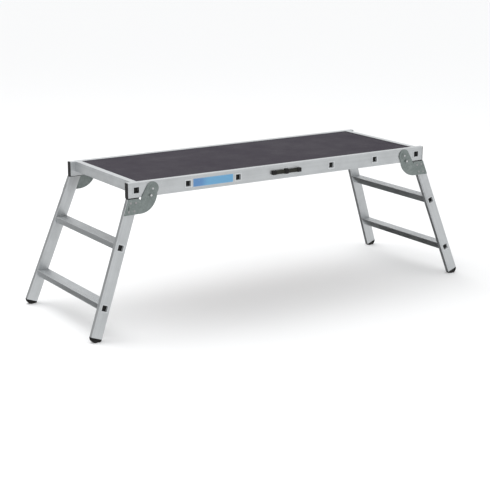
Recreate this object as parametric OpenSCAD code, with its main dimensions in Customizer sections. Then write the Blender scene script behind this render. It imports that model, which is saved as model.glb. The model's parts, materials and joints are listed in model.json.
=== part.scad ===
// Folding aluminium work platform.
// A decked frame of two side rails and seven cross members stands on two
// ladder-like leg frames. Each leg frame turns on two pivot bolts through the
// side rails and folds flat under the deck.
// Origin: on the floor, under the middle of the deck. +X along the platform,
// +Y to the rear, +Z up. The carrying strap is on the front rail.

/* [Platform] */
// Length of the platform over the rail end caps
plat_len = 1736; // [1700:2:1900]
// Width of the platform over the side rails
plat_w = 610; // [450:5:800]
// Height of the top of the rails above the floor
plat_h = 700; // [690:1:720]
// Height of a side rail
rail_h = 71; // [66:1:80]
// Thickness of a side rail across the platform
rail_t = 25; // [22:1:30]
// Wall of the side rail tube
rail_wall = 2; // [1.5:0.5:3]
// Thickness of the plywood deck
deck_t = 18; // [15:1:21]
// Depth of the deck surface below the top of the rails
deck_drop = 2.6; // [2.6:0.2:4]

/* [Cross members and rungs] */
// Outside size of the square tube
tube_w = 30; // [25:1:32]
// Wall of the square tube
tube_wall = 1.5; // [1.5:0.5:2.5]
// Width of the flared collar round a tube end
flare_w = 4.5; // [3:0.5:5.5]
// Thickness of the flared collar
flare_t = 1.2; // [0.8:0.2:1.6]
// Distance between cross members
cross_pitch = 275; // [260:5:285]
// Distance from a rail end to the outer face of an end beam
beam_inset = 30; // [28:1:36]
// Width of the deck flange on an end beam
beam_flange = 29; // [20:1:32]

/* [Leg frames] */
// Lean of a leg frame away from upright
leg_lean = 20.5; // [20:0.1:21]
// Outward splay of a stile within its leg frame
leg_splay = 4.5; // [3:0.5:5]
// Width of a stile
stile_w = 56; // [52:1:58]
// Thickness of a stile
stile_t = 22; // [20:1:24]
// Wall of the stile tube
stile_wall = 2; // [1.5:0.5:2.5]
// Distance between rungs along the stile
rung_pitch = 280; // [240:5:290]
// Height of the middle of the lower rung above the floor
rung_low = 150; // [140:5:180]
// Gap between a rail and the plastic cap on top of a stile
stop_gap = 0.2; // [0.1:0.1:0.4]
// Thickness of the plastic cap on top of a stile
stile_cap_t = 3; // [2:0.5:4]

/* [Hinges] */
// Distance from a rail end to a pivot
pivot_in = 127; // [123:1:128]
// Radius of the pivot bolt
pivot_r = 6; // [5:0.5:7]
// Thickness of a hinge plate
plate_t = 3; // [2.5:0.5:4]
// Gap between a rail and a hinge plate
plate_gap = 1; // [0.8:0.2:1.4]
// Radius of the plate's lobe round the pivot
lobe_r = 31.5; // [29:0.5:32]
// Depth of a hinge plate below the pivot
plate_drop = 109; // [100:1:115]
// Radius of the plate's large lower curve
sweep_r = 90; // [82:1:92]
// Travel of a lock pin
lock_travel = 4; // [3:0.5:4.5]

/* [Feet] */
// Radius of the rounded underside of a foot
foot_r = 29; // [28:0.5:32]
// Depth of the foot's curve that the floor flattens
foot_flat = 2.5; // [2:0.5:3]

/* [Carrying strap] */
// Length of the strap over its two anchors
strap_len = 168; // [150:2:200]
// Height of the strap
strap_h = 20; // [16:1:22]
// Thickness of the strap
strap_t = 3; // [2:0.5:4]
// Gap between the strap and the rail
strap_off = 7; // [6:0.5:9]
// Length of one strap anchor
anchor_len = 22; // [18:1:26]
// Radius of the stud that holds the middle of the strap
stud_r = 13; // [11:0.5:14]

/* [Label] */
// Length of the plain label
label_len = 219; // [150:1:240]
// Height of the plain label
label_h = 38; // [30:1:46]

/* [Hidden] */
LEG_NODES = ["stile_front", "stile_rear", "rung_upper", "rung_lower",
             "stile_cap_front", "stile_cap_rear", "foot_front", "foot_rear",
             "hinge_plate_front", "hinge_plate_rear", "rivets", "rung_plugs", "lock_bushes",
             "lock_spring_front", "lock_spring_rear", "lock_pin_front", "lock_pin_rear"];

$fn = 64;
ALUMINIUM = [0.76, 0.77, 0.78];
PLATE_GREY = [0.47, 0.51, 0.5];
BLACK = [0.06, 0.06, 0.06];
STEEL = [0.82, 0.83, 0.84];
DECK = [0.3, 0.29, 0.31];
BLUE = [0.2, 0.45, 0.78];

BIG = 2000;              // larger than any part of the platform
FIT = 0.1;               // gap between pieces that are fixed together
RUN = 0.05;              // radial gap of a bolt or pin in its bore

// Platform frame
half_len = plat_len / 2;
half_w = plat_w / 2;
end_cap_t = 3;           // flange of a rail end cap
plug_len = 14;           // part of an end cap inside the rail
rail_len = plat_len - 2 * end_cap_t;
rail_bottom = plat_h - rail_h;
rail_round = 2;          // corner radius of rails and stiles
rail_lip_w = 9;          // raised border along the outer face of a rail
recess = 0.4;            // depth of the face between the borders
deck_top = plat_h - deck_drop;
deck_bottom = deck_top - deck_t;
tube_z = deck_bottom - tube_w / 2;
tube_bore = tube_w - 2 * tube_wall;
tube_round = 2.5;
collar_w = tube_w + 2 * flare_w;
plug_in = 12;            // depth of the plugs inside the open ends of square tubes
plug_t = 8;
beam_x = half_len - beam_inset - tube_w / 2;
beam_wall = 2.5;         // upstand and flange of an end beam
rebate = 0.6;            // depth that the deck is cut down where it slips under a flange
ledge_w = 8;             // rail ledge that carries the long edges of the deck
ledge_t = 2.5;
deck_len = 2 * (half_len - beam_inset - beam_wall - FIT);
deck_w = plat_w - 2 * rail_t - 8 * FIT;
cross_x = [for (i = [-2:2]) i * cross_pitch];

// Deck screws, driven from below through the cross members
screw_r = 2;
screw_y = 180;           // distance from the middle of the platform
screw_bite = 11;         // depth in the plywood
screw_head_r = 4.5;
screw_head_t = 2.5;

// Pivot bolts
pivot_x = half_len - pivot_in;
pivot_z = plat_h - rail_h / 2;
pivot_drop = pivot_z - rail_bottom;
bolt_washer_r = 16;
bolt_head_t = 4;
spacer_r = 20;
side_gap = 0.3;          // gap on each side of the turning hinge plate
washer_t = 1.5;
nut_washer_r = 12;
nut_r = 10.4;            // over the corners
nut_t = 6;
bolt_tail = 1.5;         // bolt end beyond its nut

// Leg frame, measured from the pivot along and across the leaning leg
stile_lip_w = (stile_w - collar_w) / 2 - 0.5;
stile_out = pivot_in * cos(leg_lean) - pivot_drop * sin(leg_lean);
stile_mid = stile_out - stile_w / 2;
stile_in = stile_out - stile_w;
bend_z = -(pivot_drop + stile_in * sin(leg_lean)) / cos(leg_lean);
face_y = half_w + plate_gap;
function along(height, across) =
    (height - pivot_z - across * sin(leg_lean)) / cos(leg_lean);
lower_rung_z = along(rung_low, stile_mid);
upper_rung_z = lower_rung_z + rung_pitch;
tread_h = tube_w / 2 + 5.5;      // height of a tread above the middle of its rung
fold_angle = 90 + leg_lean;
stile_top = rail_bottom - stop_gap - stile_cap_t;
cap_plug = 9;            // part of a stile cap inside the stile
foot_cut_h = 29;         // height of the outer corner of the stile's cut end
stile_end = (along(foot_cut_h, stile_out) - bend_z) / cos(leg_splay);
foot_mid_z = (along(foot_r - foot_flat, stile_mid) - bend_z) / cos(leg_splay);
foot_collar_t = 4;
foot_plug = 25;          // part of a foot inside the stile

// Hinge plate outline, level with the rail and measured from the pivot
plate_top = -pivot_drop - stile_cap_t - 0.8;
edge_tilt = 31;          // slope of the plate's straight edge
edge_start = lobe_r * [-cos(edge_tilt), sin(edge_tilt)];
edge_end_x = edge_start[0] - (edge_start[1] - plate_top) * tan(edge_tilt);
notch_tip = [-63, -47];  // relief notch below the inner end of the stile cap
notch_x = -71;
sweep_x = -66;           // centre of the large lower curve
sweep_z = sweep_r - plate_drop;
throat_x = sweep_x + sweep_r;
function outer_edge(z) = -pivot_in + 1 + (z + pivot_drop) * tan(leg_lean);
rivet_spots = [[-115, -56], [-88, -57], [-127, -95], [-99, -94]];
rivet_r = 2.5;
rivet_tail = 2;          // rivet end inside the stile
rivet_head_r = 5.5;
rivet_head_t = 2;

// Spring lock pin in its bush on the hinge plate
lock_spot = [-12, -29.5];
lock_r = 3;
lock_hole_r = 3.3;       // holes in the rail that the pin drops into
bush_r = 7;
bush_bore = 5;
bush_cap = 1.2;          // closed outer end of the bush
collar_t = 1;            // collar of the pin that the spring bears on
spring_shut = 1.8;       // room for the spring when it is pressed together
bush_h = lock_travel + bush_cap + collar_t + spring_shut;
knob_r = 5.6;
knob_t = 2.5;

// Carrying strap
anchor_t = strap_off + strap_t + 3;
anchor_x = (strap_len - anchor_len) / 2;
anchor_bore = 2.2;
anchor_sink = 2;         // depth of the sunk screw head
strap_screw_r = 1.9;
strap_head_r = 4.4;
strap_screw_tail = 8;    // screw end inside the rail
strap_tail = 6;          // strap end beyond its screw
stud_shank_r = 6;
stud_plug = 16;          // part of the stud inside the cross member
stud_head_t = 4.5;

function turned(p, a) = [p[0] * cos(a) - p[1] * sin(a), p[0] * sin(a) + p[1] * cos(a)];

// ---------- shared shapes ----------

// Rectangle from the origin with rounded corners
module soft_rect(size, r) {
    translate([r, 0]) square([size[0] - 2 * r, size[1]]);
    translate([0, r]) square([size[0], size[1] - 2 * r]);
    for (x = [r, size[0] - r])
        for (y = [r, size[1] - r])
            translate([x, y]) circle(r = r);
}

// Rectangle centred on the origin with rounded corners
module soft_rect_mid(size, r) {
    translate([-size[0] / 2, -size[1] / 2]) soft_rect(size, r);
}

// Straight bar along Y from y = -half to y = half, profile in X and Z
module bar_y(half) {
    rotate([90, 0, 0]) translate([0, 0, -half]) linear_extrude(2 * half) children();
}

// Square tube profile
module tube_outline() {
    soft_rect_mid([tube_w, tube_w], tube_round);
}

module tube_hole() {
    soft_rect_mid([tube_bore, tube_bore], 1);
}

// Outline of a plug inside a square tube
module plug_outline() {
    side = tube_bore - 2 * FIT;
    soft_rect_mid([side, side], 1);
}

// Outline of the opening that a square tube passes through
module tube_slot() {
    soft_rect_mid([tube_w + 2 * FIT, tube_w + 2 * FIT], tube_round);
}

// Collar pressed out of a tube end, standing on a face at y = 0 and facing -Y
module flare_block() {
    rotate([90, 0, 0]) linear_extrude(flare_t) soft_rect_mid([collar_w, collar_w], 4);
}

module ring(r_in, r_out, h) {
    difference() {
        cylinder(r = r_out, h = h);
        translate([0, 0, -1]) cylinder(r = r_in, h = h + 2);
    }
}

// Piece of the front side and its mirror image on the rear side
module both_sides() {
    children();
    mirror([0, 1, 0]) children();
}

// Piece of the front side or its mirror image on the rear side
module on_side(side) {
    mirror([0, side == "front" ? 0 : 1, 0]) children();
}

// Piece of the left end or its mirror image at the right end
module at_end(end) {
    mirror([end == "left" ? 0 : 1, 0, 0]) children();
}

// ---------- platform frame ----------

module rail_outline() {
    difference() {
        union() {
            soft_rect([rail_t, rail_h], rail_round);
            translate([rail_t - 1, deck_bottom - rail_bottom - ledge_t])
                square([ledge_w + 1, ledge_t]);
        }
        translate([rail_wall, rail_wall])
            soft_rect([rail_t - 2 * rail_wall, rail_h - 2 * rail_wall], 1.5);
        translate([-1, rail_lip_w]) square([1 + recess, rail_h - 2 * rail_lip_w]);
    }
}

// Hole across the whole rail at a spot in X and Z, with the rail's face at y = 0
module rail_bore(spot, r) {
    translate([spot[0], -1, spot[1]])
        rotate([-90, 0, 0]) cylinder(r = r, h = rail_t + 2);
}

// Front rail, its outer face at y = -half_w
module rail(strap_holes) {
    color(ALUMINIUM)
    difference() {
        translate([-rail_len / 2, -half_w, rail_bottom])
            rotate([90, 0, 90]) linear_extrude(rail_len) rail_outline();
        for (x = concat([-beam_x, beam_x], cross_x))
            translate([x, 0, tube_z]) bar_y(BIG) tube_slot();
        for (end = ["left", "right"])
            at_end(end) {
                translate([-pivot_x, -half_w, pivot_z]) {
                    rail_bore([0, 0], pivot_r + FIT);
                    rail_bore(lock_spot, lock_hole_r);
                    rail_bore(turned(lock_spot, fold_angle), lock_hole_r);
                }
                // the ledge stops at the end beam
                translate([-half_len, -half_w + rail_t, deck_bottom - 2 * ledge_t])
                    cube([half_len - beam_x + tube_w / 2 + FIT, ledge_w + 1, 3 * ledge_t]);
            }
        if (strap_holes)
            for (x = [-anchor_x, anchor_x])
                translate([0, -half_w, 0]) rail_bore([x, tube_z], strap_screw_r + FIT);
    }
}

// Black plug in a rail end, shown at the front left
module rail_cap() {
    inset = rail_wall + FIT;
    color(BLACK)
    translate([-half_len, -half_w, rail_bottom]) rotate([90, 0, 90]) {
        linear_extrude(end_cap_t) soft_rect([rail_t, rail_h], rail_round);
        translate([0, 0, end_cap_t]) linear_extrude(plug_len) translate([inset, inset])
            soft_rect([rail_t - 2 * inset - recess, rail_h - 2 * inset], 1.2);
    }
}

// Cross member set through both rails, its ends flared over their outer faces
module cross_member(bores) {
    reach = half_w - recess;
    translate([0, 0, tube_z])
        difference() {
            union() {
                bar_y(reach) tube_outline();
                both_sides() translate([0, -reach, 0]) flare_block();
            }
            bar_y(BIG) tube_hole();
            if (bores)
                for (y = [-screw_y, screw_y])
                    translate([0, y, -tube_w]) cylinder(r = screw_r + FIT, h = 2 * tube_w);
        }
}

module cross_tube(x) {
    color(ALUMINIUM) translate([x, 0, 0]) cross_member(true);
}

// Plugs a little way inside the ends of the cross members; the front end of the
// middle one holds the strap's stud instead
module tube_plugs() {
    color(BLACK)
    for (end = ["front", "rear"])
        on_side(end)
            for (x = concat([-beam_x, beam_x], cross_x))
                if (x != 0 || end == "rear")
                    translate([x, plug_in - half_w, tube_z])
                        rotate([-90, 0, 0]) linear_extrude(plug_t) plug_outline();
}

// End beam: a cross member with an upstand and a flange over the deck edge
module end_beam() {
    half_inner = half_w - rail_t - FIT;
    color(ALUMINIUM) {
        translate([-beam_x, 0, 0]) cross_member(false);
        translate([-beam_x - tube_w / 2, -half_inner, tube_z])
            cube([beam_wall, 2 * half_inner, plat_h - tube_z]);
        translate([-beam_x - tube_w / 2, -half_inner, plat_h - beam_wall])
            cube([beam_flange, 2 * half_inner, beam_wall]);
    }
}

// Deck with screw holes from below, cut down where its ends slip under the flanges
module deck_panel() {
    open_half = beam_x + tube_w / 2 - beam_flange - 1;
    color(DECK)
    difference() {
        translate([-deck_len / 2, -deck_w / 2, deck_bottom])
            cube([deck_len, deck_w, deck_t]);
        at_deck_screws() cylinder(r = screw_r + FIT, h = tube_w + screw_bite + FIT);
        for (end = ["left", "right"])
            at_end(end) translate([-open_half - BIG, -BIG / 2, deck_top - rebate]) cube(BIG);
    }
}

// Child drawn on each deck screw, with z = 0 under the cross member
module at_deck_screws() {
    for (x = cross_x)
        for (y = [-screw_y, screw_y])
            translate([x, y, tube_z - tube_w / 2]) children();
}

module deck_screws() {
    color(STEEL)
    at_deck_screws() {
        translate([0, 0, -screw_head_t]) cylinder(r = screw_head_r, h = screw_head_t);
        cylinder(r = screw_r, h = tube_w + screw_bite);
    }
}

// ---------- pivots ----------

// Child drawn at every pivot, z = 0 on the rail's outer face, +Z outwards
module at_pivots() {
    both_sides()
        for (end = ["left", "right"])
            at_end(end) translate([-pivot_x, -half_w, pivot_z]) rotate([90, 0, 0]) children();
}

washer_z = plate_gap + plate_t + side_gap;
nut_z = -rail_t - washer_t - nut_t;

module pivot_bolts() {
    head_z = washer_z + washer_t;
    tail_z = nut_z - bolt_tail;
    color(STEEL)
    at_pivots() {
        translate([0, 0, tail_z]) cylinder(r = pivot_r, h = head_z - tail_z);
        translate([0, 0, head_z]) cylinder(r1 = 9.5, r2 = 8, h = bolt_head_t);
    }
}

// One washer under each bolt head and one behind the rail under each nut
module pivot_washers() {
    color(PLATE_GREY)
    at_pivots() {
        translate([0, 0, washer_z]) ring(pivot_r + RUN, bolt_washer_r, washer_t);
        translate([0, 0, -rail_t - washer_t]) ring(pivot_r + RUN, nut_washer_r, washer_t);
    }
}

module pivot_spacers() {
    color(BLACK)
    at_pivots() ring(pivot_r + RUN, spacer_r, plate_gap - side_gap);
}

module pivot_nuts() {
    color(STEEL)
    at_pivots() translate([0, 0, nut_z])
        difference() {
            cylinder(r = nut_r, h = nut_t, $fn = 6);
            translate([0, 0, -1]) cylinder(r = pivot_r + RUN, h = nut_t + 2);
        }
}

// ---------- carrying strap and label, on the front rail ----------

// Child drawn on the rail's front face at the strap's height, +Z outwards
module on_rail_front(x) {
    translate([x, -half_w, tube_z]) rotate([90, 0, 0]) children();
}

module strap_anchor(side) {
    color(BLACK)
    on_rail_front(side * anchor_x)
        difference() {
            linear_extrude(anchor_t) soft_rect_mid([anchor_len, strap_h], 1.5);
            // slot across the block that the strap's end goes into
            translate([side * (strap_tail - anchor_len / 2), 0, strap_off + strap_t / 2])
                cube([anchor_len, strap_h + 2, strap_t + 2 * FIT], center = true);
            translate([0, 0, -1]) cylinder(r = anchor_bore, h = anchor_t + 2);
            translate([0, 0, anchor_t - anchor_sink]) cylinder(r = strap_head_r + 0.2, h = 3);
        }
}

module strap_screws() {
    head_z = anchor_t - anchor_sink + FIT;
    tail_z = -rail_wall - strap_screw_tail;
    color(STEEL)
    for (side = [-1, 1])
        on_rail_front(side * anchor_x) {
            translate([0, 0, head_z]) cylinder(r = strap_head_r, h = anchor_sink);
            translate([0, 0, tail_z]) cylinder(r = strap_screw_r, h = head_z - tail_z);
        }
}

module carry_strap() {
    color(BLACK)
    on_rail_front(0) translate([0, 0, strap_off])
        difference() {
            linear_extrude(strap_t)
                square([2 * (anchor_x + strap_tail - FIT), strap_h], center = true);
            // eyes for the stud's shank and for the two anchor screws
            translate([0, 0, -1]) cylinder(r = stud_shank_r + 0.2, h = strap_t + 2);
            for (x = [-anchor_x, anchor_x])
                translate([x, 0, -1]) cylinder(r = anchor_bore, h = strap_t + 2);
        }
}

// Round stud plugged into the front end of the middle cross member
module strap_stud() {
    head_z = strap_off + strap_t + side_gap;
    color(BLACK)
    on_rail_front(0) {
        translate([0, 0, -stud_plug]) cylinder(r = tube_bore / 2 - FIT, h = stud_plug - 2);
        translate([0, 0, -stud_plug]) cylinder(r = stud_shank_r, h = stud_plug + head_z);
        translate([0, 0, head_z]) cylinder(r1 = stud_r, r2 = stud_r - 2, h = stud_head_t);
    }
}

module label() {
    from_end = 345;
    color(BLUE)
    translate([-half_len + from_end, -half_w + recess, pivot_z - label_h / 2])
        rotate([90, 0, 0]) linear_extrude(0.5) soft_rect([label_len, label_h], 1.5);
}

// ---------- leg frames, drawn at the left end ----------

// Leaning leg: origin at the pivot, Z along the stiles, X across them
module leg_frame() {
    translate([-pivot_x, 0, pivot_z]) rotate([0, leg_lean, 0]) children();
}

// Splayed stile: origin on the bend line, Y = 0 on the stile's outer face
module stile_frame() {
    leg_frame() translate([0, -face_y, bend_z]) rotate([-leg_splay, 0, 0]) children();
}

module stile_outline() {
    difference() {
        soft_rect([stile_w, stile_t], rail_round);
        translate([stile_lip_w, -1]) square([stile_w - 2 * stile_lip_w, 1 + recess]);
    }
}

// Inside of the stile tube, drawn smaller by the given gap
module stile_bore_outline(gap) {
    side = stile_wall + gap;
    translate([side, side + recess])
        soft_rect([stile_w - 2 * side, stile_t - 2 * side - recess], 1.2);
}

// Length of stile between two places along it
module stile_length(from, to) {
    stile_frame() translate([-stile_out, 0, from]) linear_extrude(to - from) children();
}

// Layer of the given thickness above a height, wide enough to hold a leg frame
module layer(height, thickness) {
    translate([-BIG, -BIG, height]) cube([BIG, 2 * BIG, thickness]);
}

module stile() {
    reach = 60;
    color(ALUMINIUM)
    difference() {
        stile_length(stile_end, reach) stile_outline();
        stile_length(stile_end - 1, reach + 1) stile_bore_outline(0);
        layer(stile_top, BIG);
        for (z = [lower_rung_z, upper_rung_z])
            leg_frame() translate([-stile_mid, 0, z]) bar_y(BIG) tube_slot();
        rivet_bores();
    }
}

module stile_cap() {
    reach = 60;
    color(BLACK) {
        intersection() {
            stile_length(-reach, reach) stile_outline();
            layer(stile_top, stile_cap_t);
        }
        intersection() {
            stile_length(-reach, reach) stile_bore_outline(FIT);
            layer(stile_top - cap_plug, cap_plug + stile_cap_t / 2);
        }
    }
}

// Black foot: plug in the stile, collar, and a rounded sole cut level with the floor
module foot() {
    color(BLACK)
    intersection() {
        union() {
            stile_length(stile_end - foot_collar_t, stile_end - FIT)
                soft_rect([stile_w, stile_t], rail_round);
            stile_length(stile_end - 1, stile_end + foot_plug) stile_bore_outline(FIT);
            stile_frame() difference() {
                translate([-stile_mid, stile_t, foot_mid_z]) rotate([90, 0, 0])
                    cylinder(r = foot_r, h = stile_t);
                translate([-BIG / 2, -BIG / 2, stile_end - foot_collar_t / 2]) cube(BIG);
            }
        }
        layer(0, BIG);
    }
}

// Height of the level tread over the middle of a rung, at a place across the leaning leg
function tread_level(x) = (tread_h + x * sin(leg_lean)) / cos(leg_lean);

// Hollow tread on top of a rung's square tube: level when the platform stands, as wide
// as the stiles, grooved along its top, its sides sloping in to the foot of the tube
module tread_outline() {
    half = tube_w / 2;
    edge = stile_w / 2 - 0.5;
    foot = -half + tube_round;       // where the sides meet the tube
    lip_t = 3.2;
    top_t = 3;
    side_t = 2;
    cell_edge = edge - 1.2 * side_t;
    groove_pitch = 9;
    groove_w = 2.5;
    groove_depth = 1.2;
    first_groove = edge * sin(leg_lean) - 3 * groove_pitch + groove_w;
    difference() {
        polygon([[-half, foot], [-edge, tread_level(-edge) - lip_t], [-edge, tread_level(-edge)],
                 [edge, tread_level(edge)], [edge, tread_level(edge) - lip_t], [half, foot]]);
        polygon([[-half / 2, half], [half - side_t, half],
                 [half - side_t, tread_level(half - side_t) - top_t]]);
        for (s = [-1, 1])
            polygon([[s * half, foot + 3.5 * side_t],
                     [s * cell_edge, tread_level(s * cell_edge) - top_t],
                     [s * half, tread_level(s * half) - top_t]]);
        rotate(leg_lean)
            for (i = [0:5])
                translate([first_groove + i * groove_pitch, tread_h - groove_depth])
                    square([groove_w, 2 * groove_depth]);
    }
}

// Keeps what is deeper than the given distance behind the outer faces of both stiles
module between_stiles(depth) {
    difference() {
        children();
        both_sides() stile_frame()
            translate([-BIG / 2, depth - BIG, -BIG / 2]) cube(BIG);
    }
}

// Rung: a square tube through both stiles, flared outside and with a tread between them
module rung(z) {
    color(ALUMINIUM)
    difference() {
        union() {
            between_stiles(recess) leg_frame() translate([-stile_mid, 0, z])
                bar_y(half_w + 100) tube_outline();
            between_stiles(stile_t + FIT) leg_frame() translate([-stile_mid, 0, z])
                bar_y(half_w + 100) tread_outline();
            both_sides() stile_frame()
                translate([-stile_mid, recess, (z - bend_z) / cos(leg_splay)]) flare_block();
        }
        leg_frame() translate([-stile_mid, 0, z]) bar_y(BIG) tube_hole();
    }
}

// ---------- hinge plates and their rivets ----------

// Plugs in the ends of both rungs
module rung_plugs() {
    color(BLACK)
    both_sides() intersection() {
        stile_frame() translate([-BIG / 2, plug_in, -BIG / 2]) cube([BIG, plug_t, BIG]);
        for (z = [lower_rung_z, upper_rung_z])
            leg_frame() translate([-stile_mid, 0, z])
                rotate([90, 0, 0]) linear_extrude(BIG) plug_outline();
    }
}

// Hinge plate outline in the leaning leg's own X and Z
module plate_outline() {
    outer_top = [outer_edge(plate_top), plate_top];
    outer_low = [outer_edge(-plate_drop), -plate_drop];
    rotate(leg_lean) {
        circle(r = lobe_r);
        intersection() {
            union() {
                translate([sweep_x, sweep_z]) circle(r = sweep_r);
                polygon([[sweep_x, plate_top], outer_top, outer_low, [sweep_x, -plate_drop]]);
            }
            polygon([edge_start, [edge_end_x, plate_top], notch_tip, [notch_x, plate_top],
                     outer_top, outer_low, [throat_x, -plate_drop], [throat_x, 0]]);
        }
    }
}

// Child on each rivet's axis, z = 0 on the stile's outer face, +Z outwards
module at_rivets() {
    stile_frame() for (spot = rivet_spots) {
        p = turned(spot, leg_lean);
        translate([p[0], 0, (p[1] - bend_z) / cos(leg_splay)]) rotate([90, 0, 0]) children();
    }
}

module rivet_bores() {
    at_rivets() cylinder(r = rivet_r + FIT, h = 6 * plate_t, center = true);
}

// End view of the bent sheet in Y and Z: upright above the bend, splayed below it
module bent_sheet() {
    reach = 200;
    low = -reach * [sin(leg_splay), cos(leg_splay)];
    polygon([[0, reach], [0, 0], low, low + plate_t * [-cos(leg_splay), sin(leg_splay)],
             [-plate_t, plate_t * tan(leg_splay / 2)], [-plate_t, reach]]);
}

module hinge_plate() {
    color(PLATE_GREY)
    difference() {
        leg_frame() intersection() {
            rotate([90, 0, 0]) linear_extrude(BIG) plate_outline();
            translate([-BIG / 2, -face_y, bend_z])
                rotate([90, 0, 90]) linear_extrude(BIG) bent_sheet();
        }
        leg_frame() rotate([90, 0, 0]) cylinder(r = pivot_r + RUN, h = BIG);
        at_lock() cylinder(r = lock_r + RUN, h = 4 * plate_t, center = true);
        rivet_bores();
    }
}

module leg_rivets() {
    shank = stile_wall + rivet_tail;
    color(ALUMINIUM)
    both_sides() at_rivets() {
        translate([0, 0, -shank]) cylinder(r = rivet_r, h = shank + plate_t);
        translate([0, 0, plate_t])
            cylinder(r1 = rivet_head_r, r2 = rivet_head_r - 2, h = rivet_head_t);
    }
}

// ---------- spring locks ----------

// Child on a lock's axis, z = 0 on the plate's outer face, +Z outwards
module at_lock() {
    spot = turned(lock_spot, leg_lean);
    leg_frame() translate([spot[0], -face_y - plate_t, spot[1]]) rotate([90, 0, 0]) children();
}

module lock_bushes() {
    color(PLATE_GREY)
    both_sides() at_lock() difference() {
        cylinder(r = bush_r, h = bush_h);
        translate([0, 0, -1]) cylinder(r = bush_bore, h = 1 + bush_h - bush_cap);
        cylinder(r = lock_r + RUN, h = bush_h + 1);
    }
}

// Pin with a collar and a pull knob; its tip is level with the plate's inner face
module lock_pin() {
    collar_z = 0.2;
    knob_z = bush_h + side_gap;
    color(STEEL)
    at_lock() {
        translate([0, 0, -plate_t]) cylinder(r = lock_r, h = plate_t + knob_z);
        translate([0, 0, collar_z]) cylinder(r = bush_bore - 0.3, h = collar_t);
        translate([0, 0, knob_z]) cylinder(r1 = knob_r, r2 = knob_r - 1, h = knob_t);
    }
}

// Spring round the pin, drawn as the sleeve that its coils fill
module lock_spring() {
    spring_z = collar_t + side_gap;
    color(STEEL)
    at_lock() translate([0, 0, spring_z])
        ring(lock_r + 0.4, bush_bore - 0.4, bush_h - bush_cap - spring_z - 0.1);
}

module leg_node(name) {
    if (name == "stile_front") stile();
    if (name == "stile_rear") on_side("rear") stile();
    if (name == "rung_upper") rung(upper_rung_z);
    if (name == "rung_lower") rung(lower_rung_z);
    if (name == "stile_cap_front") stile_cap();
    if (name == "stile_cap_rear") on_side("rear") stile_cap();
    if (name == "foot_front") foot();
    if (name == "foot_rear") on_side("rear") foot();
    if (name == "hinge_plate_front") hinge_plate();
    if (name == "hinge_plate_rear") on_side("rear") hinge_plate();
    if (name == "rivets") leg_rivets();
    if (name == "rung_plugs") rung_plugs();
    if (name == "lock_bushes") lock_bushes();
    if (name == "lock_spring_front") lock_spring();
    if (name == "lock_spring_rear") on_side("rear") lock_spring();
    if (name == "lock_pin_front") lock_pin();
    if (name == "lock_pin_rear") on_side("rear") lock_pin();
}

rail(true);  // side_rail_front
on_side("rear") rail(false);  // side_rail_rear
end_beam();  // end_beam_left
at_end("right") end_beam();  // end_beam_right
cross_tube(cross_x[0]);  // cross_tube_outer_left
cross_tube(cross_x[1]);  // cross_tube_inner_left
cross_tube(cross_x[2]);  // cross_tube_centre
cross_tube(cross_x[3]);  // cross_tube_inner_right
cross_tube(cross_x[4]);  // cross_tube_outer_right
tube_plugs();
deck_panel();
deck_screws();
rail_cap();  // rail_cap_front_left
at_end("right") rail_cap();  // rail_cap_front_right
on_side("rear") rail_cap();  // rail_cap_rear_left
at_end("right") on_side("rear") rail_cap();  // rail_cap_rear_right
pivot_bolts();
pivot_washers();
pivot_spacers();
pivot_nuts();
strap_anchor(-1);  // strap_anchor_left
strap_anchor(1);  // strap_anchor_right
carry_strap();
strap_stud();
strap_screws();
label();
for (name = LEG_NODES) {
    leg_node(name);
    at_end("right") leg_node(name);
}
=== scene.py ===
import json
import math

import bmesh
import bpy
from mathutils import Matrix, Vector


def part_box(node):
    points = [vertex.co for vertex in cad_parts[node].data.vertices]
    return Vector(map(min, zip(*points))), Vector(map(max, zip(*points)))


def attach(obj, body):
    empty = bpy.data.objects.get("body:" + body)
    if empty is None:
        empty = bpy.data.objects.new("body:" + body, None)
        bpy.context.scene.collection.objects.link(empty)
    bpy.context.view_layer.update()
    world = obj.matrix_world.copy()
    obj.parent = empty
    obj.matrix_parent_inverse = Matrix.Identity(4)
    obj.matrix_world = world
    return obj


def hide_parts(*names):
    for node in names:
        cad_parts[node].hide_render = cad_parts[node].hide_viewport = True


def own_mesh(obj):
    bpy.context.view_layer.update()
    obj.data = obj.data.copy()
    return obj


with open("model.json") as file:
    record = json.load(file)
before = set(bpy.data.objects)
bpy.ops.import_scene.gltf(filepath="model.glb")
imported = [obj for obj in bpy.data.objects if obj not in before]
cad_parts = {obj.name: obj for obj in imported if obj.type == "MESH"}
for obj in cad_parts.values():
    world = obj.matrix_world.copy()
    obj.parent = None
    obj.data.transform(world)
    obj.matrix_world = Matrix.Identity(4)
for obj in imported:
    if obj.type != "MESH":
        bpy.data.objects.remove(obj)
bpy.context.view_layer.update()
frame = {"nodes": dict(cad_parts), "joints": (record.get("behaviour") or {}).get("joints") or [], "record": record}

# ---------- places and sizes, in metres, from the frame ----------

MM = 0.001
nodes = frame["nodes"]
joints = {j["name"]: j for j in frame["joints"]}
slots = {s["node"]: s["material_slot"] for s in frame["record"]["subparts"]}
scene = bpy.context.scene
SIDES = (("left", -1), ("right", 1))
ENDS = (("front", -1), ("rear", 1))

LEG_LEAN = math.radians(joints["right_leg_hinge"]["range_deg"][1] - 90)
LEG_SPLAY = math.radians(4.5)


def stile_axis(side, end):
    """Direction up along a stile."""
    return Vector((-side * math.sin(LEG_LEAN), -end * math.sin(LEG_SPLAY),
                   math.cos(LEG_LEAN))).normalized()


def stile_normal(side, end):
    """Direction out of a stile's outer face."""
    return Vector((-side * math.sin(LEG_SPLAY) * math.sin(LEG_LEAN), end * math.cos(LEG_SPLAY),
                   math.sin(LEG_SPLAY) * math.cos(LEG_LEAN)))


# ---------- camera ----------

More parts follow.
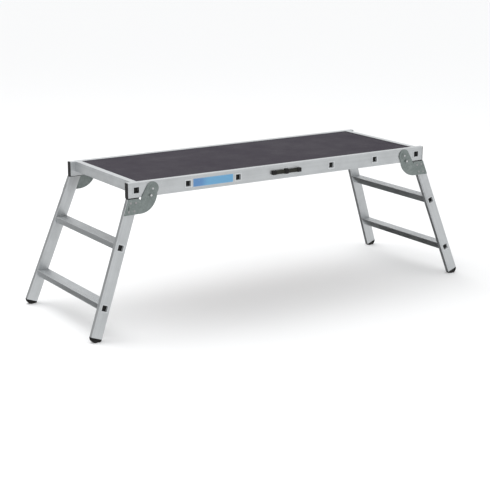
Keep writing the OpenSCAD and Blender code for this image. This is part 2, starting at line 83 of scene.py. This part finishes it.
CAMERA_PLACE = Vector((-3.5554, -5.3352, 1.9300))
CAMERA_HEADING = math.radians(33.43)
CAMERA_TILT = math.radians(-14.9)
CAMERA_ROLL = math.radians(0.33)
CAMERA_LENS = 95.2
SENSOR_WIDTH = 36


def add_camera():
    forward = Vector((math.sin(CAMERA_HEADING) * math.cos(CAMERA_TILT),
                      math.cos(CAMERA_HEADING) * math.cos(CAMERA_TILT),
                      math.sin(CAMERA_TILT)))
    level = forward.cross(Vector((0, 0, 1))).normalized()
    upright = level.cross(forward)
    right = level * math.cos(CAMERA_ROLL) + upright * math.sin(CAMERA_ROLL)
    up = upright * math.cos(CAMERA_ROLL) - level * math.sin(CAMERA_ROLL)
    data = bpy.data.cameras.new("camera")
    data.sensor_width = SENSOR_WIDTH
    data.lens = CAMERA_LENS
    data.clip_end = 200
    camera = bpy.data.objects.new("camera", data)
    turn = Matrix((right, up, -forward)).transposed().to_4x4()
    camera.matrix_world = Matrix.Translation(CAMERA_PLACE) @ turn
    scene.collection.objects.link(camera)
    scene.camera = camera


# ---------- node helpers ----------

def new_material(name):
    mat = bpy.data.materials.new(name)
    mat.use_nodes = True
    return mat, mat.node_tree, mat.node_tree.nodes["Principled BSDF"]


def add_node(tree, kind, inputs=None, **settings):
    made = tree.nodes.new(kind)
    for key, value in settings.items():
        setattr(made, key, value)
    for key, value in (inputs or {}).items():
        if isinstance(value, bpy.types.NodeSocket):
            tree.links.new(value, made.inputs[key])
        else:
            made.inputs[key].default_value = value
    return made


def calc(tree, operation, a, b=0.0):
    return add_node(tree, "ShaderNodeMath", {0: a, 1: b}, operation=operation).outputs[0]


def remap(tree, value, low, high, to_low, to_high, smooth=False):
    kind = "SMOOTHSTEP" if smooth else "LINEAR"
    return add_node(tree, "ShaderNodeMapRange",
                    {"Value": value, "From Min": low, "From Max": high,
                     "To Min": to_low, "To Max": to_high}, interpolation_type=kind).outputs[0]


def blend_colours(tree, factor, a, b):
    made = tree.nodes.new("ShaderNodeMix")
    made.data_type = "RGBA"
    for index, value in ((0, factor), (6, a), (7, b)):
        if isinstance(value, bpy.types.NodeSocket):
            tree.links.new(value, made.inputs[index])
        elif index == 0:
            made.inputs[index].default_value = value
        else:
            made.inputs[index].default_value = (*value, 1)
    return made.outputs[2]


def object_place(tree):
    return add_node(tree, "ShaderNodeTexCoord").outputs["Object"]


def scaled(tree, vector, scale):
    return add_node(tree, "ShaderNodeMapping", {"Vector": vector, "Scale": scale}).outputs[0]


def turned_upright(tree, vector, direction):
    """Coordinates in which the given direction is Z."""
    turn = direction.rotation_difference(Vector((0, 0, 1))).to_euler()
    return add_node(tree, "ShaderNodeMapping", {"Vector": vector, "Rotation": turn}).outputs[0]


def noise(tree, vector, scale, detail=3.0, roughness=0.5):
    return add_node(tree, "ShaderNodeTexNoise",
                    {"Vector": vector, "Scale": scale, "Detail": detail,
                     "Roughness": roughness}).outputs[0]


def scratches(tree, vector, scale, width, cover):
    """Thin broken lines, 1 on a line and 0 beside it."""
    field = noise(tree, scaled(tree, vector, scale), 1.0, 1.0)
    away = calc(tree, "ABSOLUTE", calc(tree, "SUBTRACT", field, 0.5))
    line = remap(tree, away, 0.0, width, 1.0, 0.0)
    patch = remap(tree, noise(tree, vector, 7.0, 2.0), cover, cover + 0.08, 0.0, 1.0)
    return calc(tree, "MULTIPLY", line, patch)


def finish(tree, bsdf, colour, roughness, height, strength, distance):
    tree.links.new(colour, bsdf.inputs["Base Color"])
    tree.links.new(roughness, bsdf.inputs["Roughness"])
    bump = add_node(tree, "ShaderNodeBump",
                    {"Height": height, "Strength": strength, "Distance": distance})
    tree.links.new(bump.outputs[0], bsdf.inputs["Normal"])


def grey(level, tint=1.0):
    return (level, level, level * tint)


def cool(level):
    return (level * 0.965, level, level * 1.02)


# ---------- light and floor ----------

DARK_WALL = (-0.62, 0.76, 0.32)  # direction of the dark wall, behind the left end
OVERHEAD = (0, 0, 1)
FLOOR_HALF = 40
FLOOR_COLOUR = (0.885, 0.89, 0.895, 1)


def add_area_light(name, place, aim, size, power):
    data = bpy.data.lights.new(name, "AREA")
    data.shape = "RECTANGLE"
    data.size, data.size_y = size
    data.energy = power
    light = bpy.data.objects.new(name, data)
    turn = (Vector(aim) - Vector(place)).to_track_quat("-Z", "Y").to_matrix().to_4x4()
    light.matrix_world = Matrix.Translation(Vector(place)) @ turn
    scene.collection.objects.link(light)


def add_world():
    """A white studio with one dark wall behind the left end and a dim low part."""
    world = bpy.data.worlds.new("studio")
    world.use_nodes = True
    scene.world = world
    tree = world.node_tree
    direction = add_node(tree, "ShaderNodeTexCoord").outputs["Generated"]

    def towards(aim, start, end):
        dot = add_node(tree, "ShaderNodeVectorMath", {0: direction, 1: Vector(aim).normalized()},
                       operation="DOT_PRODUCT").outputs["Value"]
        return remap(tree, dot, start, end, 0.0, 1.0, True)

    wall = blend_colours(tree, towards(DARK_WALL, 0.86, 0.97), grey(1.0), grey(0.02))
    parts = add_node(tree, "ShaderNodeSeparateXYZ", {0: direction})
    below = remap(tree, parts.outputs[2], -0.42, -0.27, 1.0, 0.0, True)
    behind = remap(tree, parts.outputs[1], 0.1, 0.4, 0.0, 1.0, True)
    low = blend_colours(tree, calc(tree, "MULTIPLY", below, behind), wall, grey(0.0))
    high = blend_colours(tree, towards(OVERHEAD, 0.1, 0.9), low, grey(1.15))
    background = tree.nodes["Background"]
    tree.links.new(high, background.inputs["Color"])
    background.inputs["Strength"].default_value = 1.0


def add_floor():
    half = FLOOR_HALF
    mesh = bpy.data.meshes.new("floor")
    mesh.from_pydata([(-half, -half, 0), (half, -half, 0), (half, half, 0), (-half, half, 0)],
                     [], [(0, 1, 2, 3)])
    floor = bpy.data.objects.new("floor", mesh)
    scene.collection.objects.link(floor)
    mat, _, bsdf = new_material("floor")
    bsdf.inputs["Base Color"].default_value = FLOOR_COLOUR
    bsdf.inputs["Roughness"].default_value = 0.9
    bsdf.inputs["Specular IOR Level"].default_value = 0.0
    mesh.materials.append(mat)
    floor.visible_glossy = False


# ---------- materials ----------

def aluminium(name, direction, level=0.54, rough=0.36, metallic=0.85):
    """Extruded aluminium: fine lines along the bar, smudges, scratches."""
    mat, tree, bsdf = new_material(name)
    place = object_place(tree)
    bar = turned_upright(tree, place, direction)
    lines = noise(tree, scaled(tree, bar, (1500, 1500, 3)), 1.0, 3.0)
    bands = noise(tree, scaled(tree, bar, (120, 120, 0.7)), 1.0, 2.0)
    smudge = noise(tree, place, 11.0, 6.0, 0.62)
    marks = scratches(tree, place, (60, 170, 330), 0.012, 0.52)
    tone = remap(tree, calc(tree, "ADD", lines, bands), 0.7, 1.3, 0.0, 1.0)
    colour = blend_colours(tree, tone, cool(level * 0.93), cool(level * 1.06))
    dull = remap(tree, smudge, 0.42, 0.7, 0.0, 0.35)
    colour = blend_colours(tree, dull, colour, cool(level * 0.8))
    colour = blend_colours(tree, calc(tree, "MULTIPLY", marks, 0.5), colour, grey(0.75))
    roughness = calc(tree, "ADD", remap(tree, smudge, 0.3, 0.7, rough - 0.05, rough + 0.09),
                     calc(tree, "MULTIPLY", lines, 0.06))
    height = calc(tree, "SUBTRACT", lines, calc(tree, "MULTIPLY", marks, 0.6))
    finish(tree, bsdf, colour, roughness, height, 0.16, 0.0003)
    bsdf.inputs["Metallic"].default_value = metallic
    return mat


def dull_tube_ends(mat):
    """Makes a rung's material duller in its ends, which are set in the splayed stiles."""
    end_length = 23 * MM
    bar_metallic, end_metallic = 0.9, 0.35
    tree = mat.node_tree
    heights, depths = [], []
    for name in ("left_rung_lower", "left_rung_upper"):
        low, high = (Vector(c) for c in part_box(name))
        heights.append((low.z + high.z) / 2)
        depths.append(high.y - end_length)
    parts = add_node(tree, "ShaderNodeSeparateXYZ", {0: object_place(tree)})
    start = remap(tree, parts.outputs[2], *heights, *depths)
    beyond = calc(tree, "GREATER_THAN", calc(tree, "ABSOLUTE", parts.outputs[1]), start)
    metallic = remap(tree, beyond, 0.0, 1.0, bar_metallic, end_metallic)
    tree.links.new(metallic, tree.nodes["Principled BSDF"].inputs["Metallic"])


def zinc_plate():
    """Zinc-plated sheet: faint spangle, cloudy and scuffed."""
    mat, tree, bsdf = new_material("zinc_plate")
    place = object_place(tree)
    cells = add_node(tree, "ShaderNodeTexVoronoi", {"Vector": place, "Scale": 150.0})
    cell = add_node(tree, "ShaderNodeSeparateColor", {0: cells.outputs["Color"]}).outputs[0]
    cloud = noise(tree, place, 26.0, 6.0, 0.65)
    marks = scratches(tree, place, (150, 90, 260), 0.014, 0.48)
    colour = blend_colours(tree, cell, (0.185, 0.215, 0.208), (0.235, 0.265, 0.258))
    colour = blend_colours(tree, remap(tree, cloud, 0.4, 0.7, 0.0, 0.45), colour,
                           (0.14, 0.165, 0.16))
    colour = blend_colours(tree, calc(tree, "MULTIPLY", marks, 0.4), colour, grey(0.45))
    finish(tree, bsdf, colour, remap(tree, cloud, 0.3, 0.7, 0.42, 0.6),
           calc(tree, "SUBTRACT", cloud, marks), 0.12, 0.0003)
    bsdf.inputs["Metallic"].default_value = 0.55
    return mat


def steel(name, level, rough):
    """Turned and tumbled steel: fine random scoring and a few stains."""
    mat, tree, bsdf = new_material(name)
    place = object_place(tree)
    fine = noise(tree, place, 1400.0, 4.0, 0.6)
    stain = noise(tree, place, 160.0, 5.0, 0.6)
    colour = blend_colours(tree, remap(tree, stain, 0.45, 0.7, 0.0, 0.6),
                           grey(level, 1.02), grey(level * 0.72, 0.97))
    finish(tree, bsdf, colour, remap(tree, fine, 0.3, 0.7, rough - 0.06, rough + 0.08),
           fine, 0.15, 0.0002)
    bsdf.inputs["Metallic"].default_value = 1.0
    return mat


def black_plastic():
    """Moulded black plastic with a fine eroded grain."""
    mat, tree, bsdf = new_material("black_plastic")
    place = object_place(tree)
    grain = noise(tree, place, 1100.0, 4.0, 0.6)
    scuff = noise(tree, place, 45.0, 6.0, 0.7)
    colour = blend_colours(tree, remap(tree, scuff, 0.5, 0.75, 0.0, 0.7),
                           grey(0.004), grey(0.012, 1.05))
    finish(tree, bsdf, colour, remap(tree, scuff, 0.3, 0.7, 0.42, 0.62), grain, 0.35, 0.0002)
    bsdf.inputs["Specular IOR Level"].default_value = 0.3
    return mat


def foot_rubber():
    """Black rubber, dusty and scuffed near the floor."""
    mat, tree, bsdf = new_material("foot_rubber")
    place = object_place(tree)
    height = add_node(tree, "ShaderNodeSeparateXYZ", {0: place}).outputs[2]
    grain = noise(tree, place, 800.0, 5.0, 0.7)
    scuff = noise(tree, place, 60.0, 6.0, 0.7)
    near_floor = remap(tree, height, 0.0, 0.014, 0.75, 0.0)
    dust = calc(tree, "MULTIPLY", near_floor, remap(tree, scuff, 0.35, 0.7, 0.2, 1.0))
    colour = blend_colours(tree, remap(tree, scuff, 0.5, 0.8, 0.0, 0.8),
                           grey(0.0045), grey(0.011, 0.96))
    colour = blend_colours(tree, dust, colour, (0.05, 0.047, 0.042))
    finish(tree, bsdf, colour, remap(tree, grain, 0.3, 0.7, 0.6, 0.8), grain, 0.5, 0.0003)
    bsdf.inputs["Specular IOR Level"].default_value = 0.25
    return mat


def deck_plywood():
    """Film-faced plywood: pressed wire-mesh pattern on top, ply layers at the edges."""
    mat, tree, bsdf = new_material("deck_plywood")
    coords = add_node(tree, "ShaderNodeTexCoord")
    place = coords.outputs["Object"]
    facing = add_node(tree, "ShaderNodeSeparateXYZ", {0: coords.outputs["Normal"]}).outputs[2]
    place_z = add_node(tree, "ShaderNodeSeparateXYZ", {0: place}).outputs[2]
    wires_along, wires_across = (
        add_node(tree, "ShaderNodeTexWave", {"Vector": place, "Scale": 75.0},
                 bands_direction=direction).outputs[1] for direction in ("X", "Y"))
    wires = calc(tree, "MULTIPLY", wires_along, wires_across)
    cloud = noise(tree, place, 5.0, 6.0, 0.6)
    marks = scratches(tree, place, (70, 160, 10), 0.012, 0.45)
    top = blend_colours(tree, cloud, (0.0195, 0.015, 0.0245), (0.0295, 0.0235, 0.036))
    top = blend_colours(tree, calc(tree, "MULTIPLY", wires, 0.35), top, (0.011, 0.0095, 0.012))
    top = blend_colours(tree, calc(tree, "MULTIPLY", marks, 0.35), top, (0.11, 0.10, 0.105))
    layer = 1.4 * MM
    ply = calc(tree, "PINGPONG", place_z, layer)
    ply = remap(tree, ply, 0.55 * MM, 0.85 * MM, 0.0, 1.0)
    fibre = noise(tree, scaled(tree, place, (90, 90, 900)), 1.0, 4.0)
    edge = blend_colours(tree, ply, (0.24, 0.15, 0.08), (0.12, 0.07, 0.035))
    edge = blend_colours(tree, calc(tree, "MULTIPLY", fibre, 0.5), edge, (0.32, 0.22, 0.13))
    grain = noise(tree, scaled(tree, place, (6, 140, 1)), 1.0, 5.0, 0.6)
    under = blend_colours(tree, grain, (0.085, 0.052, 0.036), (0.15, 0.095, 0.062))
    colour = blend_colours(tree, remap(tree, facing, 0.4, 0.6, 0.0, 1.0), edge, top)
    colour = blend_colours(tree, remap(tree, facing, -0.6, -0.4, 1.0, 0.0), colour, under)
    finish(tree, bsdf, colour, remap(tree, cloud, 0.3, 0.7, 0.5, 0.66),
           calc(tree, "SUBTRACT", wires, marks), 0.3, 0.0004)
    bsdf.inputs["Specular IOR Level"].default_value = 0.08
    return mat


def strap_band():
    """Woven polyester webbing."""
    mat, tree, bsdf = new_material("strap_band")
    place = object_place(tree)
    warp = add_node(tree, "ShaderNodeTexWave", {"Vector": place, "Scale": 160.0},
                    bands_direction="X").outputs[1]
    weft = add_node(tree, "ShaderNodeTexWave", {"Vector": place, "Scale": 110.0},
                    bands_direction="Z").outputs[1]
    thread = calc(tree, "MULTIPLY", warp, weft)
    fluff = noise(tree, place, 220.0, 6.0, 0.7)
    colour = blend_colours(tree, thread, (0.010, 0.011, 0.0075), (0.022, 0.024, 0.0165))
    colour = blend_colours(tree, remap(tree, fluff, 0.5, 0.8, 0.0, 0.4), colour,
                           (0.035, 0.037, 0.028))
    finish(tree, bsdf, colour, remap(tree, fluff, 0.3, 0.7, 0.6, 0.85), thread, 0.5, 0.0004)
    bsdf.inputs["Specular IOR Level"].default_value = 0.3
    bsdf.inputs["Sheen Weight"].default_value = 0.15
    return mat


def label_film():
    """Plain printed film: deeper blue at one end, thin pale border, slight wear."""
    mat, tree, bsdf = new_material("label_film")
    low, high = (Vector(c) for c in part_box("label"))
    place = object_place(tree)
    parts = add_node(tree, "ShaderNodeSeparateXYZ", {0: place})
    border_from, border_to = 1.2 * MM, 2.0 * MM
    from_edges = []
    for axis in (0, 2):
        middle = (low[axis] + high[axis]) / 2
        half = (high[axis] - low[axis]) / 2
        away = calc(tree, "ABSOLUTE", calc(tree, "SUBTRACT", parts.outputs[axis], middle))
        from_edges.append(calc(tree, "SUBTRACT", half, away))
    margin = calc(tree, "MINIMUM", *from_edges)
    border = calc(tree, "MULTIPLY", calc(tree, "GREATER_THAN", margin, border_from),
                  calc(tree, "LESS_THAN", margin, border_to))
    wear = noise(tree, place, 70.0, 6.0, 0.7)
    speck = noise(tree, place, 900.0, 3.0, 0.5)
    span = remap(tree, parts.outputs[0], low.x + 0.035, low.x + 0.085, 0.0, 1.0, True)
    colour = blend_colours(tree, span, (0.10, 0.235, 0.47), (0.135, 0.345, 0.56))
    colour = blend_colours(tree, calc(tree, "MULTIPLY", border, 0.5), colour, (0.42, 0.58, 0.74))
    colour = blend_colours(tree, remap(tree, wear, 0.6, 0.75, 0.0, 0.35), colour,
                           (0.35, 0.45, 0.55))
    finish(tree, bsdf, colour, remap(tree, wear, 0.3, 0.7, 0.3, 0.48), speck, 0.08, 0.0001)
    bsdf.inputs["Specular IOR Level"].default_value = 0.4
    return mat


# ---------- detailed pieces ----------

def lathe(bm, profile, place, axis, steps=40, material=None, ridges=0.0):
    """Turned solid: profile of (radius, height) along axis, in mm, from the axis back to it."""
    axis = Vector(axis).normalized()
    side = axis.orthogonal().normalized()
    other = axis.cross(side)
    rings = []
    for radius, height in profile:
        middle = place + axis * height * MM
        if radius == 0:
            rings.append([bm.verts.new(middle)])
            continue
        ring = []
        for i in range(steps):
            angle = 2 * math.pi * i / steps
            r = radius - (ridges if i % 2 else 0.0)
            ring.append(bm.verts.new(
                middle + (side * math.cos(angle) + other * math.sin(angle)) * r * MM))
        rings.append(ring)
    for (lower, upper), (start, end) in zip(zip(rings, rings[1:]), zip(profile, profile[1:])):
        for i in range(steps):
            j = (i + 1) % steps
            if len(lower) == 1:
                corners = [lower[0], upper[j], upper[i]]
            elif len(upper) == 1:
                corners = [lower[i], lower[j], upper[0]]
            else:
                corners = [lower[i], lower[j], upper[j], upper[i]]
            face = bm.faces.new(corners)
            if material:
                face.material_index = material(start, end)


def islands(node):
    """Separate solids of a CAD node, each as a list of points."""
    weld_distance = 1e-6
    bm = bmesh.new()
    bm.from_mesh(nodes[node].data)
    bmesh.ops.remove_doubles(bm, verts=bm.verts, dist=weld_distance)
    found = []
    left = set(bm.verts)
    while left:
        reach = [left.pop()]
        island = []
        while reach:
            vert = reach.pop()
            island.append(vert.co.copy())
            for edge in vert.link_edges:
                beside = edge.other_vert(vert)
                if beside in left:
                    left.remove(beside)
                    reach.append(beside)
        found.append(island)
    bm.free()
    return found


def middle_of(points):
    low = Vector([min(p[a] for p in points) for a in range(3)])
    high = Vector([max(p[a] for p in points) for a in range(3)])
    return (low + high) / 2


def add_piece(name, bm, node, body, extra_looks=(), look=None):
    """Makes a mesh piece that stands for a CAD node and rides on its body."""
    bmesh.ops.recalc_face_normals(bm, faces=bm.faces)
    mesh = bpy.data.meshes.new(name)
    bm.to_mesh(mesh)
    bm.free()
    mesh.polygons.foreach_set("use_smooth", [True] * len(mesh.polygons))
    mesh.set_sharp_from_angle(angle=math.radians(32))
    for each in (look or slots[node], *extra_looks):
        mesh.materials.append(looks[each])
    piece = bpy.data.objects.new(name, mesh)
    scene.collection.objects.link(piece)
    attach(piece, body)
    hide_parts(node)
    return piece


def extent(points, axis):
    """Lowest and highest distance of points along an axis."""
    along = [p.dot(axis) for p in points]
    return min(along), max(along)


def add_pivot_bolts():
    """Four bolts with a thin flange, a small domed head and a threaded end."""
    bm = bmesh.new()
    head = 4.0
    for solid in islands("pivot_bolts"):
        centre = middle_of(solid)
        axis = Vector((0, math.copysign(1, centre.y), 0))
        near, far = extent(solid, axis)
        length = (far - near) / MM
        start = Vector((centre.x, axis.y * near, centre.z))
        base = length - head
        profile = [(0, 0), (4.8, 0), (5.5, 0.6)]
        for i in range(5):
            profile += [(5.95, 1.1 + 1.5 * i), (5.3, 1.85 + 1.5 * i)]
        profile += [(6, 9), (6, base), (9.5, base), (9.5, base + 0.6), (9.0, base + 1.1),
                    (5.0, base + 1.4), (4.7, base + 2.6), (4.1, base + 3.4), (2.8, base + 3.85),
                    (1.4, base + head), (0, base + head)]
        lathe(bm, profile, start, axis, 40, lambda a, b: 1 if max(a[0], b[0]) > 6.5 else 0)
    add_piece("pivot_bolts_detail", bm, "pivot_bolts", "platform", ("zinc_plate",))


def add_pivot_nuts():
    """Four hexagon nuts with chamfered corners."""
    bm = bmesh.new()
    steps = 60
    bore = 6.08 * MM
    for solid in islands("pivot_nuts"):
        centre = middle_of(solid)
        axis = Vector((0, math.copysign(1, centre.y), 0))
        near, far = extent(solid, axis)
        across = (max(p.x for p in solid) - min(p.x for p in solid)) / 2
        flat = across * math.cos(math.pi / 6)
        loops = []
        for i in range(steps):
            angle = 2 * math.pi * i / steps
            turn = angle % (math.pi / 3) - math.pi / 6
            corner = flat / math.cos(turn)
            cut = max(0.0, corner - flat) * 0.6
            capped = min(corner, flat * 1.01)
            loops.append((angle, [(bore, near), (capped, near), (corner, near + cut),
                                  (corner, far - cut), (capped, far), (bore, far)]))
        rings = []
        for angle, section in loops:
            rings.append([bm.verts.new((centre.x + r * math.cos(angle), axis.y * y,
                                        centre.z + r * math.sin(angle))) for r, y in section])
        for i in range(steps):
            here, beside = rings[i], rings[(i + 1) % steps]
            for k in range(len(here)):
                m = (k + 1) % len(here)
                bm.faces.new([here[k], beside[k], beside[m], here[m]])
    bmesh.ops.remove_doubles(bm, verts=bm.verts, dist=1e-7)
    add_piece("pivot_nuts_detail", bm, "pivot_nuts", "platform")


def add_rivets():
    """Domed rivets in the hinge plates."""
    head = 2.0
    for side_name, side in SIDES:
        bm = bmesh.new()
        node = side_name + "_rivets"
        for solid in islands(node):
            end = math.copysign(1, middle_of(solid).y)
            axis = stile_normal(side, end)
            near, far = extent(solid, axis)
            centre = middle_of(solid)
            start = centre + axis * (near - centre.dot(axis))
            base = (far - near) / MM - head
            profile = [(0, 0), (2.1, 0), (2.5, 0.4), (2.5, base), (5.4, base),
                       (5.3, base + 0.5), (4.6, base + 1.1), (3.2, base + 1.65),
                       (1.6, base + 1.93), (0, base + head)]
            lathe(bm, profile, start, axis, 28)
        add_piece(node + "_detail", bm, node, side_name + "_leg", look="rivet_aluminium")


def add_locks():
    """Pins with a ribbed pull knob, and the coil springs round them, built at rest length; on the real lock the
    pulled pin presses its spring together.
    """
    knob_t = 2.5
    for side_name, _ in SIDES:
        for end_name, end in ENDS:
            axis = Vector((0, end, 0))
            pin = f"{side_name}_lock_pin_{end_name}"
            points = islands(pin)[0]
            centre = middle_of(points)
            near, far = extent(points, axis)
            start = Vector((centre.x, end * near, centre.z))
            knob = (far - near) / MM - knob_t
            bm = bmesh.new()
            lathe(bm, [(0, 0), (2.2, 0), (3, 0.8), (3, 3.2), (4.7, 3.2), (4.7, 4.2), (3, 4.2),
                       (3, knob - 0.1), (0, knob - 0.1)], start, axis, 32)
            lathe(bm, [(0, knob), (5.1, knob), (5.5, knob + 0.4), (5.5, knob + 1.5),
                       (4.6, knob + 2.2), (2.4, knob + 2.45), (0, knob + knob_t)],
                  start, axis, 40, None, 0.3)
            add_piece(pin + "_detail", bm, pin, f"{side_name}_lock_{end_name}")

            spring = f"{side_name}_lock_spring_{end_name}"
            points = islands(spring)[0]
            centre = middle_of(points)
            near, far = extent(points, axis)
            add_spring(spring, side_name + "_leg", centre, end, near, far)


def add_spring(node, body, centre, end, near, far):
    """Coil spring round a lock pin, built at rest length and fixed to the leg; on the real lock the pulled pin
    presses it together.
    """
    turns, around, wire = 3.5, 96, 0.36 * MM
    coil_r = 4.0 * MM
    bm = bmesh.new()
    rings = []
    for i in range(around + 1):
        part = i / around
        angle = 2 * math.pi * turns * part
        y = near + wire + (far - near - 2 * wire) * part
        out = Vector((math.cos(angle), 0, math.sin(angle)))
        spot = Vector((centre.x, end * y, centre.z)) + out * coil_r
        rings.append([bm.verts.new(spot + (out * math.cos(a) + Vector((0, 1, 0)) * math.sin(a))
                                   * wire)
                      for a in (2 * math.pi * k / 8 for k in range(8))])
    for here, beside in zip(rings, rings[1:]):
        for k in range(8):
            m = (k + 1) % 8
            bm.faces.new([here[k], here[m], beside[m], beside[k]])
    bm.faces.new(rings[0])
    bm.faces.new(rings[-1])
    piece = add_piece(node + "_detail", bm, node, body)
    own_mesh(piece)


def add_strap():
    """Webbing band between the anchors: ribbed, rounded edges, eased in towards the rail."""
    low, high = (Vector(c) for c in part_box("carry_strap"))
    centre = (low + high) / 2
    half = (high - low) / 2
    along, around = 150, 36
    bm = bmesh.new()
    rings = []
    for i in range(along + 1):
        part = 2 * i / along - 1
        x = centre.x + half.x * part
        rib = 0.10 * MM * math.cos(part * half.x / MM * 2 * math.pi / 3.4)
        ease = 1.4 * MM * math.sin(math.pi * min(1.0, abs(part) / 0.86)) ** 2
        tongue = 1.0 - 0.06 * max(0.0, (abs(part) - 0.9) / 0.1)
        ring = []
        for k in range(around):
            angle = 2 * math.pi * k / around
            c, s = math.cos(angle), math.sin(angle)
            z = math.copysign(abs(c) ** 0.35, c) * (half.z - 0.1 * MM) * tongue
            y = math.copysign(abs(s) ** 0.5, s) * (half.y - 0.12 * MM + rib)
            ring.append(bm.verts.new((x, centre.y + y + ease, centre.z + z)))
        rings.append(ring)
    for here, beside in zip(rings, rings[1:]):
        for k in range(around):
            m = (k + 1) % around
            bm.faces.new([here[k], here[m], beside[m], beside[k]])
    bm.faces.new(rings[0])
    bm.faces.new(rings[-1])
    add_piece("carry_strap_detail", bm, "carry_strap", "platform")


def add_stud():
    """Moulded stud over the strap: domed head with a ring, shank and plug."""
    head = 4.5
    points = [p for solid in islands("strap_stud") for p in solid]
    centre = middle_of(points)
    axis = Vector((0, -1, 0))
    near, far = extent(points, axis)
    start = Vector((centre.x, -near, centre.z))
    base = (far - near) / MM - head
    bm = bmesh.new()
    lathe(bm, [(0, 0), (11.5, 0), (12.9, 1.2), (13.2, 6), (12.9, 12), (12.2, 13.6), (6, 14),
               (6, base), (12.4, base), (13.0, base + 0.6), (12.9, base + 1.8),
               (12.1, base + 2.9), (10.6, base + 3.6), (8.9, base + 3.9), (8.6, base + 3.3),
               (8.2, base + 3.3), (7.9, base + 4.0), (5.0, base + 4.35), (0, base + head)],
          start, axis, 56)
    add_piece("strap_stud_detail", bm, "strap_stud", "platform")


def soften(obj, width):
    """Breaks the sharp edges of a CAD node, on the object and not in its mesh."""
    weld = obj.modifiers.new("weld", "WELD")
    weld.merge_threshold = 1e-6
    bevel = obj.modifiers.new("bevel", "BEVEL")
    bevel.width = width
    bevel.segments = 2
    bevel.limit_method = "ANGLE"
    bevel.angle_limit = math.radians(35)


add_camera()
add_world()
add_floor()
add_area_light("key", (-1.6, 1.9, 4.2), (0, 0, 0.3), (3.6, 3.6), 85)

X_AXIS, Y_AXIS = Vector((1, 0, 0)), Vector((0, 1, 0))
looks = {
    "aluminium": aluminium("aluminium", X_AXIS),
    "aluminium_across": aluminium("aluminium_across", Y_AXIS, 0.56, 0.36, 0.9),
    "aluminium_rung": aluminium("aluminium_rung", Y_AXIS, 0.56, 0.36, 0.9),
    "aluminium_tube": aluminium("aluminium_tube", Y_AXIS, 0.6, 0.4, 0.35),
    "zinc_plate": zinc_plate(),
    "bright_steel": steel("bright_steel", 0.6, 0.3),
    "rivet_aluminium": steel("rivet_aluminium", 0.36, 0.5),
    "dark_steel": steel("dark_steel", 0.03, 0.45),
    "black_plastic": black_plastic(),
    "foot_rubber": foot_rubber(),
    "deck_plywood": deck_plywood(),
    "strap_band": strap_band(),
    "label_film": label_film(),
}
dull_tube_ends(looks["aluminium_rung"])
for side_name, side in SIDES:
    for end_name, end in ENDS:
        name = f"aluminium_stile_{side_name}_{end_name}"
        looks[name] = aluminium(name, stile_axis(side, end))


def look_of(name):
    if name == "strap_screws":
        return "dark_steel"
    if "_stile_front" in name or "_stile_rear" in name:
        return "aluminium_stile_" + name.replace("_stile", "")
    if name.startswith("cross_tube"):
        return "aluminium_tube"
    if name.startswith("end_beam"):
        return "aluminium_across"
    if name.endswith(("_rung_upper", "_rung_lower")):
        return "aluminium_rung"
    return slots[name]


for name, obj in nodes.items():
    obj.data.materials.clear()
    obj.data.materials.append(looks[look_of(name)])
    if slots[name] in ("aluminium", "black_plastic", "foot_rubber", "zinc_plate"):
        soften(obj, 0.35 * MM)

add_pivot_bolts()
add_pivot_nuts()
add_rivets()
add_locks()
add_strap()
add_stud()

scene.view_settings.view_transform = "Standard"
